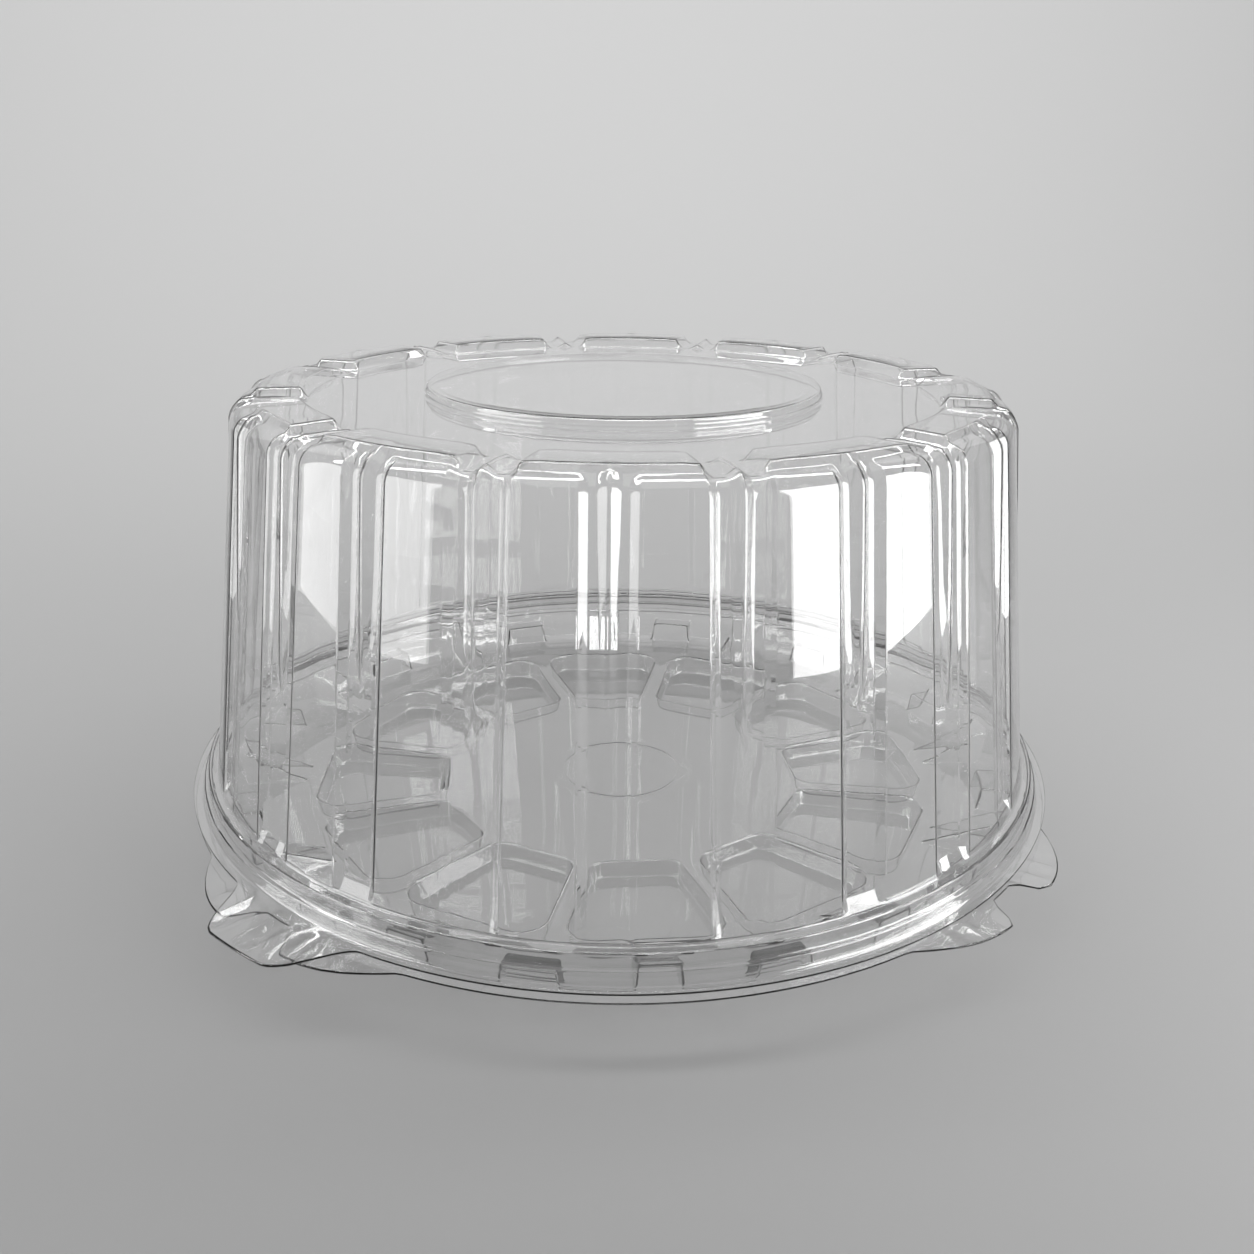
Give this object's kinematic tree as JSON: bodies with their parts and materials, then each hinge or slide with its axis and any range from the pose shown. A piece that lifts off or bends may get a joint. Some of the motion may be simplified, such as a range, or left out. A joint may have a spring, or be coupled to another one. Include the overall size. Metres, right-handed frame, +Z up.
{
  "type": "cake container",
  "caption": "Round clear plastic cake container with a fluted tall dome lid on a low tray with a flange, finger grips and a lifting tab.",
  "frame": {"origin": "on the table under the centre of the tray", "axes": "+Z up, -Y towards the viewer"},
  "size_m": [0.3, 0.3, 0.15],
  "materials": {
    "clear_tray": "clear thermoformed PET sheet, glossy",
    "clear_dome": "clear thermoformed PET sheet, glossy"
  },
  "bodies": {
    "tray": {"tray_base": "clear_tray"},
    "dome": {"dome_lid": "clear_dome"}
  },
  "joints": [
    {"name": "dome_lift", "type": "slide", "parent": "tray", "child": "dome", "axis": [0, 0, 1], "range_m": [0, 0.16]}
  ]
}
